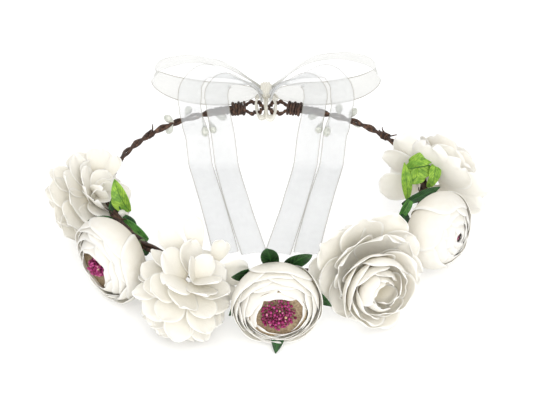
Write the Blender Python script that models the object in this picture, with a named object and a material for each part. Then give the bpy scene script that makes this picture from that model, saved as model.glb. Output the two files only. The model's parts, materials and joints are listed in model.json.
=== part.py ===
"""A flower crown: seven fabric flowers, leaves and pips on a twisted vine ring.

The ring is open behind, where its two wire eyes are tied together with an organza bow.
Each flower tilts on its binding, the two arms of the vine spring apart, and the four
ribbon tails lift. Metres, +Z up, front towards -Y, standing on z = 0.
"""

import math

import bmesh
import bpy
from mathutils import Matrix, Vector

# Vine ring. Angles run round the ring from the front, positive to the right.
RING_RADIUS = 0.0915
FRONT_STRAND_RADIUS = 0.00105
ARM_STRAND_RADIUS = 0.00085
STRAND_GAP = 0.0004
FRONT_TWIST_PITCH = 0.042
ARM_TWIST_PITCH = 0.024
POINTS_PER_TURN = 9
HINGE_GAP = 0.0009
HINGE_PAST_FLOWER = math.radians(9)

# Wire eyes at the ends of the arms.
EYE_LENGTH = 0.0125
EYE_HALF_WIDTH = 0.0046
EYE_LEG_LENGTH = 0.026
TIE_WALL = 0.0005
TIE_WIDTH = 0.0022
TIE_SPACING = 0.0006

# Ribbon.
RIBBON_WIDTH = 0.015
RIBBON_THICKNESS = 0.0006
GATHERED_WIDTH = 0.005
RIBBON_GAP = 0.0005
KNOT_HALF_SIZE = (0.0042, 0.0056, 0.0050)
KNOT_SETBACK = 0.0070
KNOT_LIFT = 0.0086
BOW_REACH = 0.070
BOW_RISE = 0.0205
TAIL_LENGTH = 0.100
TAIL_LEAN = math.radians(13)
TAIL_SPACING = RIBBON_WIDTH / math.cos(TAIL_LEAN) + 2 * RIBBON_GAP
TOUCH_DOWN_INSET = 0.0250
TABLE_CLEARANCE = 0.0002
LOOP_SETBACK = 0.0010
# Stations round a bow loop: shares of its reach, its rise and the ribbon's width.
LOOP_SHAPE = ((0.075, -0.10, 0.35), (0.20, -0.12, 0.8), (0.50, -0.10, 1.0), (0.84, 0.02, 1.0),
              (1.0, 0.36, 1.0), (0.90, 0.80, 1.0), (0.55, 1.0, 1.0), (0.24, 0.72, 0.8), (0.085, 0.12, 0.35))
INNER_ARCH_CREST = 0.0135
OUTER_ARCH_CREST = 0.0260
INNER_ARCH_ROOT = -0.0035
OUTER_ARCH_ROOT = 0.0018

# Flowers.
TAPE_CLEARANCE = 0.0004
TAPE_WALL = 0.0008
TAPE_LENGTH = 0.0050
STEM_RADIUS = 0.0009
CALYX_RADIUS = 0.0045
CALYX_HEIGHT = 0.0021
PETAL_THICKNESS = 0.0006
LAYER_CLEARANCE = 0.00045
FLOWER_GAP = 0.0016
SEPAL_SPREAD = 1.10
FIRST_FLOWER_ANGLE = math.radians(2.8)

# Leaves and pips.
LEAF_THICKNESS = 0.0007
LEAF_STALK_RADIUS = 0.0007
PIP_RADIUS = 0.0019
PIP_LENGTH = 0.0065
PIP_STALK_RADIUS = 0.00045

FRONT_COIL_RADIUS = (2 * FRONT_STRAND_RADIUS + STRAND_GAP) / math.sqrt(3)
PAIR_COIL_RADIUS = ARM_STRAND_RADIUS + STRAND_GAP / 2
FOUR_COIL_RADIUS = (2 * ARM_STRAND_RADIUS + STRAND_GAP) / math.sqrt(2)
FRONT_BUNDLE_RADIUS = FRONT_COIL_RADIUS + FRONT_STRAND_RADIUS
EYE_SPACING = 2 * (LAYER_CLEARANCE + TIE_WALL) + TIE_SPACING
ARM_BUNDLE_RADIUS = FOUR_COIL_RADIUS + ARM_STRAND_RADIUS
TAPE_INNER_RADIUS = FRONT_BUNDLE_RADIUS + TAPE_CLEARANCE
TAPE_OUTER_RADIUS = TAPE_INNER_RADIUS + TAPE_WALL


class Flower:
    """One flower's own sizes: its petal cup, how far it opens, and where it faces."""

    def __init__(self, name, radius, base_depth, front_depth, opening, lobes, elevation,
                 turned=0.0, sepals=False, gap_before=FLOWER_GAP, heart="stamens"):
        self.name = name
        self.radius = radius
        self.base_depth = base_depth
        self.front_depth = front_depth
        self.opening = math.radians(opening)
        self.lobes = lobes
        self.elevation = math.radians(elevation)
        self.turned = math.radians(turned)
        self.sepals = sepals
        self.gap_before = gap_before
        self.heart = heart
        self.angle = 0.0

    def layer_start(self):
        """Distance from the vine's centre to the middle of the outer petals' base."""
        start = TAPE_OUTER_RADIUS + CALYX_HEIGHT + LAYER_CLEARANCE + PETAL_THICKNESS / 2
        if self.sepals:
            start += LEAF_THICKNESS + LAYER_CLEARANCE
        return start

    def centre_reach(self):
        return self.layer_start() + self.base_depth

    def depth_below_band(self):
        widest = self.radius * (SEPAL_SPREAD if self.sepals else 1.0)
        drop = (widest + PETAL_THICKNESS / 2) * math.cos(self.elevation)
        return drop - self.centre_reach() * math.sin(self.elevation)


LEFT_BACK_BLOOM = Flower("left_back_bloom", 0.0265, 0.0135, 0.013, 98, 6, 4,
                         gap_before=0.0135, heart="heart")
LEFT_RANUNCULUS = Flower("left_ranunculus", 0.0225, 0.0160, 0.014, 118, 5, -8)
FRONT_LEFT_BLOOM = Flower("front_left_bloom", 0.0245, 0.0135, 0.013, 98, 6, 8, heart="heart")
FRONT_RANUNCULUS = Flower("front_ranunculus", 0.0225, 0.0130, 0.013, 116, 5, -10, sepals=True)
FRONT_RIGHT_ROSE = Flower("front_right_rose", 0.0265, 0.0150, 0.012, 92, 5, 0,
                          gap_before=0.0080, heart="heart")
RIGHT_RANUNCULUS = Flower("right_ranunculus", 0.0215, 0.0140, 0.014, 118, 5, -10, gap_before=0.0130)
RIGHT_BACK_ROSE = Flower("right_back_rose", 0.0270, 0.0140, 0.013, 95, 6, 6, turned=6,
                         gap_before=0.0090, heart="heart")
LEFT_OF_FRONT = (FRONT_LEFT_BLOOM, LEFT_RANUNCULUS, LEFT_BACK_BLOOM)
RIGHT_OF_FRONT = (FRONT_RIGHT_ROSE, RIGHT_RANUNCULUS, RIGHT_BACK_ROSE)
FLOWERS = (*reversed(LEFT_OF_FRONT), FRONT_RANUNCULUS, *RIGHT_OF_FRONT)


def chord_angle(near, far, gap):
    """Angle round the ring that leaves the gap between two neighbouring cups."""
    reach = RING_RADIUS + min(near.centre_reach(), far.centre_reach())
    return 2 * math.asin((near.radius + far.radius + PETAL_THICKNESS + gap) / (2 * reach))


def place_flowers():
    FRONT_RANUNCULUS.angle = FIRST_FLOWER_ANGLE
    for side, row in ((-1, LEFT_OF_FRONT), (1, RIGHT_OF_FRONT)):
        before = FRONT_RANUNCULUS
        for flower in row:
            flower.angle = before.angle + side * chord_angle(before, flower, flower.gap_before)
            before = flower


place_flowers()
RING_HEIGHT = TABLE_CLEARANCE + max(flower.depth_below_band() for flower in FLOWERS)


def hinge_angle(side):
    """Where the springy arm starts, just past the last flower on its side."""
    last = RIGHT_BACK_ROSE if side > 0 else LEFT_BACK_BLOOM
    half = math.asin(last.radius / (RING_RADIUS + last.centre_reach()))
    return side * (abs(last.angle) + half + HINGE_PAST_FLOWER)


def band_point(angle, outward=0.0, up=0.0):
    radius = RING_RADIUS + outward
    return Vector((radius * math.sin(angle), -radius * math.cos(angle), RING_HEIGHT + up))


def outward_at(angle):
    return Vector((math.sin(angle), -math.cos(angle), 0.0))


def tangent_at(angle):
    return Vector((math.cos(angle), math.sin(angle), 0.0))


LEAF_FOOT_HEIGHT = FRONT_BUNDLE_RADIUS + 2.2 * LEAF_STALK_RADIUS + LEAF_THICKNESS
LEAF_FOOT_INSET = -0.0015


def between(first, second):
    return (first.angle + second.angle) / 2


# Each blade's tip from its foot: along the vine, outwards, up; then its width.
LEAVES = {
    "left_upper_leaf": (LEFT_BACK_BLOOM.angle - math.radians(3),
                        ((-0.017, -0.006, 0.010, 0.009), (0.012, -0.008, 0.007, 0.007))),
    "left_lower_leaf": (between(LEFT_BACK_BLOOM, LEFT_RANUNCULUS),
                        ((0.021, -0.010, 0.006, 0.010), (0.012, -0.016, 0.003, 0.008))),
    "right_leaf_bunch": (between(RIGHT_RANUNCULUS, RIGHT_BACK_ROSE) + math.radians(6),
                         ((0.016, -0.008, 0.010, 0.011), (0.005, -0.013, 0.015, 0.010),
                          (-0.010, -0.005, 0.014, 0.009))),
    "right_lower_leaf": (between(FRONT_RIGHT_ROSE, RIGHT_RANUNCULUS),
                         ((0.020, -0.011, 0.004, 0.009), (0.004, -0.015, 0.004, 0.007))),
}

# Each sprig's place along the arm and its tips from its foot: along the vine, outwards, up.
SPRIGS = {
    "left": {
        "upper": (0.52, ((0.004, 0.006, 0.006), (-0.006, 0.009, 0.004), (-0.012, 0.006, 0.003))),
        "lower": (0.80, ((0.002, 0.001, -0.017), (-0.003, 0.003, -0.013), (0.003, -0.004, -0.010))),
    },
    "right": {
        "upper": (0.40, ((0.004, 0.008, 0.008), (0.012, 0.005, 0.005), (-0.006, 0.006, 0.006))),
        "lower": (0.78, ((-0.002, 0.001, -0.017), (0.004, 0.002, -0.012), (-0.004, -0.004, -0.009))),
    },
}


# Materials.

def material(name, colour, roughness, metallic=0.0):
    made = bpy.data.materials.new(name)
    made.use_nodes = True
    shader = made.node_tree.nodes["Principled BSDF"]
    shader.inputs["Base Color"].default_value = (*colour, 1.0)
    shader.inputs["Roughness"].default_value = roughness
    shader.inputs["Metallic"].default_value = metallic
    made.diffuse_color = (*colour, 1.0)
    return made


def make_materials():
    return {
        "vine": material("vine_bark", (0.045, 0.022, 0.012), 0.75),
        "tape": material("floral_tape", (0.16, 0.19, 0.10), 0.80),
        "petal": material("petal_fabric", (0.88, 0.86, 0.80), 0.85),
        "stamens": material("stamens", (0.26, 0.02, 0.08), 0.70),
        "leaf": material("leaf_fabric", (0.12, 0.30, 0.03), 0.70),
        "pip": material("pip_coating", (0.62, 0.62, 0.56), 0.55),
        "ribbon": material("organza", (0.90, 0.88, 0.80), 0.45),
    }


# Building blocks.

def clear_scene():
    for obj in list(bpy.data.objects):
        bpy.data.objects.remove(obj)


def add_empty(name, matrix, parent=None):
    empty = bpy.data.objects.new(name, None)
    empty.empty_display_size = 0.01
    bpy.context.scene.collection.objects.link(empty)
    if parent:
        empty.parent = parent
    empty.matrix_world = matrix
    return empty


def link(name, data, finish, parent, place=None):
    """Adds an object whose data is in crown coordinates, or in those of place."""
    data.materials.append(finish)
    obj = bpy.data.objects.new(name, data)
    bpy.context.scene.collection.objects.link(obj)
    obj.parent = parent
    inverse = parent.matrix_world.inverted()
    obj.matrix_parent_inverse = inverse
    if place is not None:
        obj.matrix_world = place
    return obj


def tube_curve(name, points, radius, scales=None, sides=2, cyclic=False):
    curve = bpy.data.curves.new(name, "CURVE")
    curve.dimensions = "3D"
    curve.bevel_depth = radius
    curve.bevel_resolution = sides - 1
    curve.use_fill_caps = not cyclic
    spline = curve.splines.new("POLY")
    spline.points.add(len(points) - 1)
    spline.use_cyclic_u = cyclic
    for index, point in enumerate(points):
        spline.points[index].co = (*point, 1.0)
        spline.points[index].radius = scales[index] if scales else 1.0
    return curve


def mesh_from_curve(name, curve):
    helper = bpy.data.objects.new(name, curve)
    mesh = bpy.data.meshes.new_from_object(helper)
    bpy.data.objects.remove(helper)
    return mesh


def mesh_from(name, build):
    """A mesh whose faces point outwards, from a function that fills a bmesh."""
    shape = bmesh.new()
    build(shape)
    bmesh.ops.remove_doubles(shape, verts=shape.verts, dist=1e-6)
    bmesh.ops.recalc_face_normals(shape, faces=shape.faces)
    mesh = bpy.data.meshes.new(name)
    shape.to_mesh(mesh)
    shape.free()
    mesh.shade_smooth()
    return mesh


def spin_profile(shape, profile, segments):
    """Turns a closed outline of (radius, height) points about +Z."""
    rings = []
    for radius, height in profile:
        if radius == 0.0:
            rings.append([shape.verts.new((0.0, 0.0, height))])
            continue
        ring = []
        for step in range(segments):
            angle = math.tau * step / segments
            ring.append(shape.verts.new((radius * math.cos(angle), radius * math.sin(angle), height)))
        rings.append(ring)
    closed = profile[0][0] > 0.0
    pairs = list(zip(rings, rings[1:]))
    if closed:
        pairs.append((rings[-1], rings[0]))
    for lower, upper in pairs:
        for step in range(segments):
            after = (step + 1) % segments
            corners = [lower[step % len(lower)], lower[after % len(lower)],
                       upper[after % len(upper)], upper[step % len(upper)]]
            shape.faces.new(list(dict.fromkeys(corners)))


def grid(shape, rows, wrap=False):
    """Joins equally long rows of points into one open surface."""
    made = [[shape.verts.new(point) for point in row] for row in rows]
    count = len(made[0])
    for lower, upper in zip(made, made[1:]):
        for step in range(count if wrap else count - 1):
            after = (step + 1) % count
            shape.faces.new((lower[step], lower[after], upper[after], upper[step]))


def thicken(obj, thickness):
    solidify = obj.modifiers.new("thickness", "SOLIDIFY")
    solidify.thickness = thickness
    solidify.offset = 0.0
    solidify.use_even_offset = True
    return obj


def join_to(obj, helpers):
    """Unites the helpers with the object, and keeps them as hidden wire shapes."""
    for helper in helpers:
        helper.hide_render = True
        helper.display_type = "WIRE"
        union = obj.modifiers.new("join " + helper.name, "BOOLEAN")
        union.operation = "UNION"
        union.solver = "EXACT"
        union.object = helper


# Vine.

def smooth_step(value):
    value = min(1.0, max(0.0, value))
    return value * value * (3 - 2 * value)


def coil_points(start, end, phase, radius_at, pitch, origin):
    """Points of one strand, wound round the ring's circle from one angle to another."""
    length = abs(end - start) * RING_RADIUS
    steps = max(2, round(length / pitch * POINTS_PER_TURN))
    points = []
    for step in range(steps + 1):
        angle = start + (end - start) * step / steps
        turn = phase + math.tau * abs(angle - origin) * RING_RADIUS / pitch
        radius = radius_at(angle)
        points.append(band_point(angle, radius * math.cos(turn), radius * math.sin(turn)))
    return points


def make_front_vines(band, finish):
    gap = HINGE_GAP / 2 / RING_RADIUS
    start = hinge_angle(-1) + gap
    end = hinge_angle(1) - gap
    for index in range(3):
        points = coil_points(start, end, math.tau * index / 3, lambda angle: FRONT_COIL_RADIUS,
                             FRONT_TWIST_PITCH, start)
        link(f"front_vine_{index + 1}", tube_curve("vine", points, FRONT_STRAND_RADIUS), finish, band)


def eye_base_angle(side):
    return side * (math.pi - (EYE_LENGTH + EYE_SPACING / 2) / RING_RADIUS)


def arm_coil_radius(side):
    """The strands open from a pair to a bundle of four, where the eye's legs join them."""
    base = eye_base_angle(side)
    legs = EYE_LEG_LENGTH / RING_RADIUS
    easing = ARM_TWIST_PITCH / RING_RADIUS / 2

    def radius_at(angle):
        share = smooth_step(1 - (abs(base - angle) - legs - easing / 4) / easing)
        return PAIR_COIL_RADIUS + (FOUR_COIL_RADIUS - PAIR_COIL_RADIUS) * share

    return radius_at


def make_arm(side, arm, finish):
    name = "right" if side > 0 else "left"
    base = eye_base_angle(side)
    radius_at = arm_coil_radius(side)
    start = hinge_angle(side) + side * HINGE_GAP / 2 / RING_RADIUS
    for index, phase in enumerate((math.pi / 2, -math.pi / 2)):
        points = coil_points(base, start, phase, radius_at, ARM_TWIST_PITCH, base)
        link(f"{name}_arm_vine_{index + 1}", tube_curve("vine", points, ARM_STRAND_RADIUS), finish, arm)
    legs = [
        coil_points(base, base - side * EYE_LEG_LENGTH / RING_RADIUS, phase, radius_at,
                    ARM_TWIST_PITCH, base)
        for phase in (0.0, math.pi)
    ]
    length = EYE_LENGTH - ARM_STRAND_RADIUS
    half_width = EYE_HALF_WIDTH - ARM_STRAND_RADIUS
    first = math.asin(FOUR_COIL_RADIUS / half_width)
    eye = []
    steps = 12
    for step in range(1, steps):
        turn = first + (math.tau - 2 * first) * step / steps
        along = length * (1 - math.cos(turn)) / 2
        eye.append(band_point(base + side * along / RING_RADIUS, half_width * math.sin(turn)))
    points = [*reversed(legs[0]), *eye, *legs[1]]
    link(f"{name}_end_eye", tube_curve("vine", points, ARM_STRAND_RADIUS), finish, arm)


def make_tie(side, arm, finish):
    """The gathered ribbon where it passes through the eye and round the eye's end."""
    name = "right" if side > 0 else "left"
    tip = eye_base_angle(side) + side * (EYE_LENGTH - ARM_STRAND_RADIUS) / RING_RADIUS
    inner = ARM_STRAND_RADIUS + LAYER_CLEARANCE
    outer = inner + TIE_WALL
    half = TIE_WIDTH / 2
    outline = [(inner, -half), (outer, -half), (outer, half), (inner, half)]
    mesh = mesh_from("tie", lambda shape: spin_profile(shape, outline, 12))
    turn = Matrix((tangent_at(tip), Vector((0, 0, 1)), -outward_at(tip))).transposed().to_4x4()
    place = Matrix.Translation(band_point(tip)) @ turn
    link(f"{name}_tie", mesh, finish, arm, place)


# Flowers.

def cup_point(flower, size, start, turn, around):
    """A point on a petal cup: turn is 0 on the stem's axis and a right angle at its widest."""
    radius = size * flower.radius * math.sin(turn)
    depth = flower.base_depth if turn < math.pi / 2 else flower.front_depth
    height = start + size * (flower.base_depth - depth * math.cos(turn))
    return Vector((radius * math.cos(around), radius * math.sin(around), height))


def petal_cup(flower, size, start, twist, opening, rings, sides_per_lobe, notch, point=1.0):
    """An open cup with one scallop for each petal and a hole for the stem."""
    hole = STEM_RADIUS + LAYER_CLEARANCE
    first = math.asin(hole / (size * flower.radius))
    segments = flower.lobes * sides_per_lobe
    rows = []
    for ring in range(rings + 1):
        row = []
        for step in range(segments):
            around = math.tau * step / segments
            petal = abs(math.cos(flower.lobes * around / 2)) ** point
            last = opening * (1 - notch * (1 - petal))
            turn = first + (last - first) * ring / rings
            row.append(cup_point(flower, size, start, turn, around + twist))
        rows.append(row)
    return mesh_from("petals", lambda shape: grid(shape, rows, wrap=True))


def heart_outline(flower, size, start):
    """A bud that fits inside the inner cup, closed at both ends."""
    height = size * (flower.base_depth + flower.front_depth)
    outline = [(0.0, start)]
    for turn, share in ((35, 0.08), (70, 0.30), (90, 0.50), (120, 0.78), (155, 0.95)):
        outline.append((size * flower.radius * math.sin(math.radians(turn)), start + height * share))
    outline.append((0.0, start + height))
    return outline


def flower_matrix(flower):
    """Local +Z along the stem, local +X along the vine."""
    facing = flower.angle + flower.turned
    flat = outward_at(facing)
    axis = flat * math.cos(flower.elevation) + Vector((0, 0, math.sin(flower.elevation)))
    along = tangent_at(facing)
    turn = Matrix((along, axis.cross(along), axis)).transposed().to_4x4()
    return Matrix.Translation(band_point(flower.angle)) @ turn


def make_stem(flower, holder, place, finish, top):
    """Calyx and wire, bound to the vine by a sleeve of tape."""
    calyx = TAPE_OUTER_RADIUS + CALYX_HEIGHT
    foot = (TAPE_INNER_RADIUS + TAPE_OUTER_RADIUS) / 2
    outline = [(0.0, foot), (2 * STEM_RADIUS, foot), (2 * STEM_RADIUS, TAPE_OUTER_RADIUS + 0.0003),
               (CALYX_RADIUS, calyx - 0.0008), (CALYX_RADIUS, calyx - 0.0002), (STEM_RADIUS, calyx),
               (STEM_RADIUS, top), (0.0, top)]
    mesh = mesh_from("stem", lambda shape: spin_profile(shape, outline, 10))
    stem = link(f"{flower.name}_stem", mesh, finish, holder, place)
    half = TAPE_LENGTH / 2
    ring = [(TAPE_INNER_RADIUS, -half), (TAPE_OUTER_RADIUS, -half),
            (TAPE_OUTER_RADIUS, half), (TAPE_INNER_RADIUS, half)]
    sleeve_mesh = mesh_from("tape", lambda shape: spin_profile(shape, ring, 14))
    along = tangent_at(flower.angle)
    turn = Matrix((outward_at(flower.angle), Vector((0, 0, 1)), along)).transposed().to_4x4()
    sleeve_place = Matrix.Translation(band_point(flower.angle)) @ turn
    sleeve = link(f"{flower.name}_tape", sleeve_mesh, finish, holder, sleeve_place)
    join_to(stem, [sleeve])


def make_flower(flower, crown, finishes):
    place = flower_matrix(flower)
    holder = add_empty(f"{flower.name}_tilt", place, crown)
    start = flower.layer_start()
    layer = PETAL_THICKNESS + LAYER_CLEARANCE
    inner_start = start + layer
    heart_start = inner_start + layer
    make_stem(flower, holder, place, finishes["tape"], heart_start - PETAL_THICKNESS / 2 - 0.0001)
    outer = petal_cup(flower, 1.0, start, 0.0, flower.opening, 5, 3, 0.16)
    thicken(link(f"{flower.name}_outer_petals", outer, finishes["petal"], holder, place), PETAL_THICKNESS)
    half_petal = math.pi / flower.lobes
    inner = petal_cup(flower, 0.76, inner_start, half_petal, flower.opening, 4, 3, 0.16)
    thicken(link(f"{flower.name}_inner_petals", inner, finishes["petal"], holder, place), PETAL_THICKNESS)
    bud = heart_outline(flower, 0.46, heart_start)
    mesh = mesh_from("heart", lambda shape: spin_profile(shape, bud, 10))
    colour = finishes["stamens"] if flower.heart == "stamens" else finishes["petal"]
    link(f"{flower.name}_{flower.heart}", mesh, colour, holder, place)
    if flower.sepals:
        below = start - (PETAL_THICKNESS + LEAF_THICKNESS) / 2 - LAYER_CLEARANCE
        leaves = petal_cup(flower, SEPAL_SPREAD, below, half_petal, math.radians(84), 4, 4, 0.62, 1.6)
        thicken(link("front_leaf_collar", leaves, finishes["leaf"], holder, place), LEAF_THICKNESS)


# Leaves and pips.

def leaf_mesh(base, tip, across, width, fold):
    """A pointed blade, folded along its midrib and arched along its length."""
    base, tip, across = Vector(base), Vector(tip), Vector(across).normalized()
    along = tip - base
    up = along.normalized().cross(across).normalized()
    across = up.cross(along.normalized())
    rows = []
    steps = 6
    for step in range(steps + 1):
        t = step / steps
        half = width / 2 * math.sin(math.pi * (0.06 + 0.90 * t)) ** 0.8
        middle = base + along * t + up * along.length * 0.10 * math.sin(math.pi * t)
        rows.append([middle + across * half * side + up * fold * half * abs(side) for side in (-1, 0, 1)])
    return mesh_from("leaf", lambda shape: grid(shape, rows))


def make_leaves(name, blades, parent, finish):
    """Blades that share one stalk, joined into one spray."""
    objects = []
    for index, (base, tip, across, width) in enumerate(blades):
        blade = link(name if index == 0 else f"{name}_blade_{index}",
                     leaf_mesh(base, tip, across, width, 0.35), finish, parent)
        objects.append(thicken(blade, LEAF_THICKNESS))
    foot = Vector(blades[0][0])
    ball = mesh_from("stalk", lambda shape: bmesh.ops.create_icosphere(
        shape, subdivisions=1, radius=2.2 * LEAF_STALK_RADIUS, matrix=Matrix.Translation(foot)))
    stalk = link(f"{name}_stalk", ball, finish, parent)
    join_to(objects[0], [*objects[1:], stalk])


def pip_tube(name, base, end, finish, parent):
    """A fine stalk that swells into a teardrop at its end."""
    base, end = Vector(base), Vector(end)
    reach = (end - base).length
    swell = 1 - min(0.9, PIP_LENGTH / reach)
    thin = PIP_STALK_RADIUS / PIP_RADIUS
    stations = ((0.0, thin), (swell, thin), (swell + 0.35 * (1 - swell), 0.72),
                (swell + 0.68 * (1 - swell), 1.0), (swell + 0.92 * (1 - swell), 0.62), (1.0, 0.2))
    points = [base.lerp(end, share) for share, _ in stations]
    curve = tube_curve(name, points, PIP_RADIUS, [scale for _, scale in stations], sides=2)
    return link(name, mesh_from_curve(name, curve), finish, parent)


def make_pips(name, angle, tips, arm, finish):
    """A sprig beside the vine: its pips spring from one foot."""
    stand_off = ARM_BUNDLE_RADIUS + 2.2 * PIP_STALK_RADIUS + STRAND_GAP
    sign = -1 if tips[0][2] < 0 else 1
    foot = band_point(angle, up=sign * stand_off)
    objects = []
    for index, (along, out, up) in enumerate(tips):
        end = foot + tangent_at(angle) * along + outward_at(angle) * out + Vector((0, 0, up))
        objects.append(pip_tube(name if index == 0 else f"{name}_{index}", foot, end, finish, arm))
    ball = mesh_from("foot", lambda shape: bmesh.ops.create_icosphere(
        shape, subdivisions=1, radius=2 * PIP_STALK_RADIUS, matrix=Matrix.Translation(foot)))
    join_to(objects[0], [*objects[1:], link(f"{name}_foot", ball, finish, arm)])


# Ribbon.

def ribbon_mesh(points, acrosses, widths):
    rows = []
    for index, point in enumerate(points):
        before = points[max(0, index - 1)]
        after = points[min(len(points) - 1, index + 1)]
        along = (after - before).normalized()
        across = acrosses[index] - along * acrosses[index].dot(along)
        across.normalize()
        rows.append([point - across * widths[index] / 2, point + across * widths[index] / 2])
    return mesh_from("ribbon", lambda shape: grid(shape, rows))


def smooth_values(before, start, end, after, t):
    return [0.5 * (2 * b + (c - a) * t + (2 * a - 5 * b + 4 * c - d) * t ** 2
                   + (3 * b - a - 3 * c + d) * t ** 3)
            for a, b, c, d in zip(before, start, end, after)]


def make_ribbon(name, stations, parent, finish, spacing=0.008):
    """Stations are (point, direction across, width) along the ribbon."""
    flat = [(*point, *across, width) for point, across, width in stations]
    ends = [flat[0], *flat, flat[-1]]
    values = [flat[0]]
    for before, start, end, after in zip(ends, ends[1:], ends[2:], ends[3:]):
        steps = max(1, round((Vector(end[:3]) - Vector(start[:3])).length / spacing))
        values.extend(smooth_values(before, start, end, after, (step + 1) / steps) for step in range(steps))
    points = [Vector(value[:3]) for value in values]
    acrosses = [Vector(value[3:6]) for value in values]
    widths = [value[6] for value in values]
    obj = link(name, ribbon_mesh(points, acrosses, widths), finish, parent)
    return thicken(obj, RIBBON_THICKNESS)


def knot_centre():
    return Vector((0.0, RING_RADIUS + KNOT_SETBACK, RING_HEIGHT + KNOT_LIFT))


def make_knot(band, finish):
    def build(shape):
        bmesh.ops.create_icosphere(shape, subdivisions=2, radius=1.0)
        for vert in shape.verts:
            vert.co = Vector([c * half for c, half in zip(vert.co, KNOT_HALF_SIZE)])
            vert.co *= 1 + 0.05 * math.cos(5 * math.atan2(vert.co.z, vert.co.x))

    link("ribbon_knot", mesh_from("knot", build), finish, band,
         Matrix.Translation(knot_centre()))


def make_loop(side, band, finish):
    """One loop of the bow, out from the knot along the bottom and back over the top."""
    name = "right" if side > 0 else "left"
    root = knot_centre()
    stations = []
    for out, rise, share in LOOP_SHAPE:
        point = root + Vector((side * out * BOW_REACH, LOOP_SETBACK, rise * BOW_RISE))
        stations.append((point, (0, 1, -0.15 * (rise - 0.4)), RIBBON_WIDTH * share))
    make_ribbon(f"{name}_bow_loop", stations, band, finish)


def tail_x(side, order):
    """Where a tail touches down: order 1 is the inner pair and 2 the outer."""
    lean = TAIL_LENGTH * math.sin(TAIL_LEAN)
    return side * (TAIL_SPACING * (order - 0.5) + lean)


def touch_down_y():
    return RING_RADIUS - TOUCH_DOWN_INSET


def make_arch(side, order, band, finish):
    """The ribbon from the knot, up over the vine and down to the table inside the ring."""
    name = f"{'right' if side > 0 else 'left'}_{'outer' if order == 2 else 'inner'}_arch"
    root = knot_centre()
    x = abs(tail_x(side, order))
    over = band_point(math.pi - math.asin(x / RING_RADIUS))
    cross = (math.sqrt(1 - (x / RING_RADIUS) ** 2), -side * x / RING_RADIUS, 0)
    front = root.y - KNOT_HALF_SIZE[1] - GATHERED_WIDTH / 2 - RIBBON_GAP
    lift = OUTER_ARCH_ROOT if order == 2 else INNER_ARCH_ROOT
    crest = OUTER_ARCH_CREST if order == 2 else INNER_ARCH_CREST
    loop_front = root.y + LOOP_SETBACK - RIBBON_WIDTH / 2 - RIBBON_GAP
    rising = min(front - 0.004, loop_front - 0.31 * RIBBON_WIDTH)
    highest = min(front - 0.006, loop_front - 0.44 * RIBBON_WIDTH)
    behind = min(over.y + 0.0055, front - 0.003, loop_front - 0.40 * RIBBON_WIDTH)
    down = touch_down_y()
    flat_z = RIBBON_THICKNESS / 2
    stations = [
        ((side * 0.0035, front, root.z + lift), (0, 1, 0), GATHERED_WIDTH),
        ((side * 0.42 * x, rising, root.z + 0.75 * crest), (0, 1, 0), 0.62 * RIBBON_WIDTH),
        ((side * 0.80 * x, highest, RING_HEIGHT + crest), (0.25 * -side, 1, 0), 0.88 * RIBBON_WIDTH),
        ((side * (x + 0.0015), behind, RING_HEIGHT + 0.62 * crest), (0.75, -0.75 * side, 0), RIBBON_WIDTH),
        ((side * x, over.y, RING_HEIGHT + 0.0062), cross, RIBBON_WIDTH),
        ((side * (x - 0.001), over.y - 0.0060, RING_HEIGHT + 0.0015), cross, RIBBON_WIDTH),
        ((side * x, down + 0.0055, 0.55 * RING_HEIGHT), (1, -0.25 * side, 0), RIBBON_WIDTH),
        ((side * x, down + 0.0032, 0.20 * RING_HEIGHT), (1, 0, 0), RIBBON_WIDTH),
        ((side * x, down + RIBBON_GAP + 0.0016, flat_z + 0.0006), (1, 0, 0), RIBBON_WIDTH),
        ((side * x, down + RIBBON_GAP, flat_z), (1, 0, 0), RIBBON_WIDTH),
    ]
    make_ribbon(name, stations, band, finish)


def make_tail(side, order, crown, finish):
    """A flat length of ribbon on the table, hinged where it touches down."""
    name = f"{'right' if side > 0 else 'left'}_{'outer' if order == 2 else 'inner'}_tail"
    start = Vector((tail_x(side, order), touch_down_y(), RIBBON_THICKNESS / 2))
    holder = add_empty(f"{name}_hinge", Matrix.Translation(start), crown)
    along = Vector((-side * math.sin(TAIL_LEAN), -math.cos(TAIL_LEAN), 0))
    end = start + along * TAIL_LENGTH
    slope = Vector((1, 0.35 * side, 0)).normalized()
    first = start + along * RIBBON_GAP
    stations = [(first, (1, 0, 0)), (start.lerp(end, 0.5), (1, 0, 0)), (end, slope)]
    half = RIBBON_WIDTH / 2 / math.cos(TAIL_LEAN)

    def build(shape):
        rows = [[point - Vector(across) * half / across[0], point + Vector(across) * half / across[0]]
                for point, across in stations]
        grid(shape, rows)

    thicken(link(name, mesh_from(name, build), finish, holder), RIBBON_THICKNESS)


# The whole crown.

def centre_on_origin(crown):
    """Moves the crown so that its box stands on the origin, centred in plan."""
    graph = bpy.context.evaluated_depsgraph_get()
    points = []
    for obj in bpy.context.scene.objects:
        if obj.type == "EMPTY" or obj.hide_render:
            continue
        shown = obj.evaluated_get(graph)
        mesh = shown.to_mesh()
        points.extend(shown.matrix_world @ vert.co for vert in mesh.vertices)
        shown.to_mesh_clear()
    low = Vector(map(min, zip(*points)))
    high = Vector(map(max, zip(*points)))
    crown.location = (-(low.x + high.x) / 2, -(low.y + high.y) / 2, -low.z)


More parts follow.
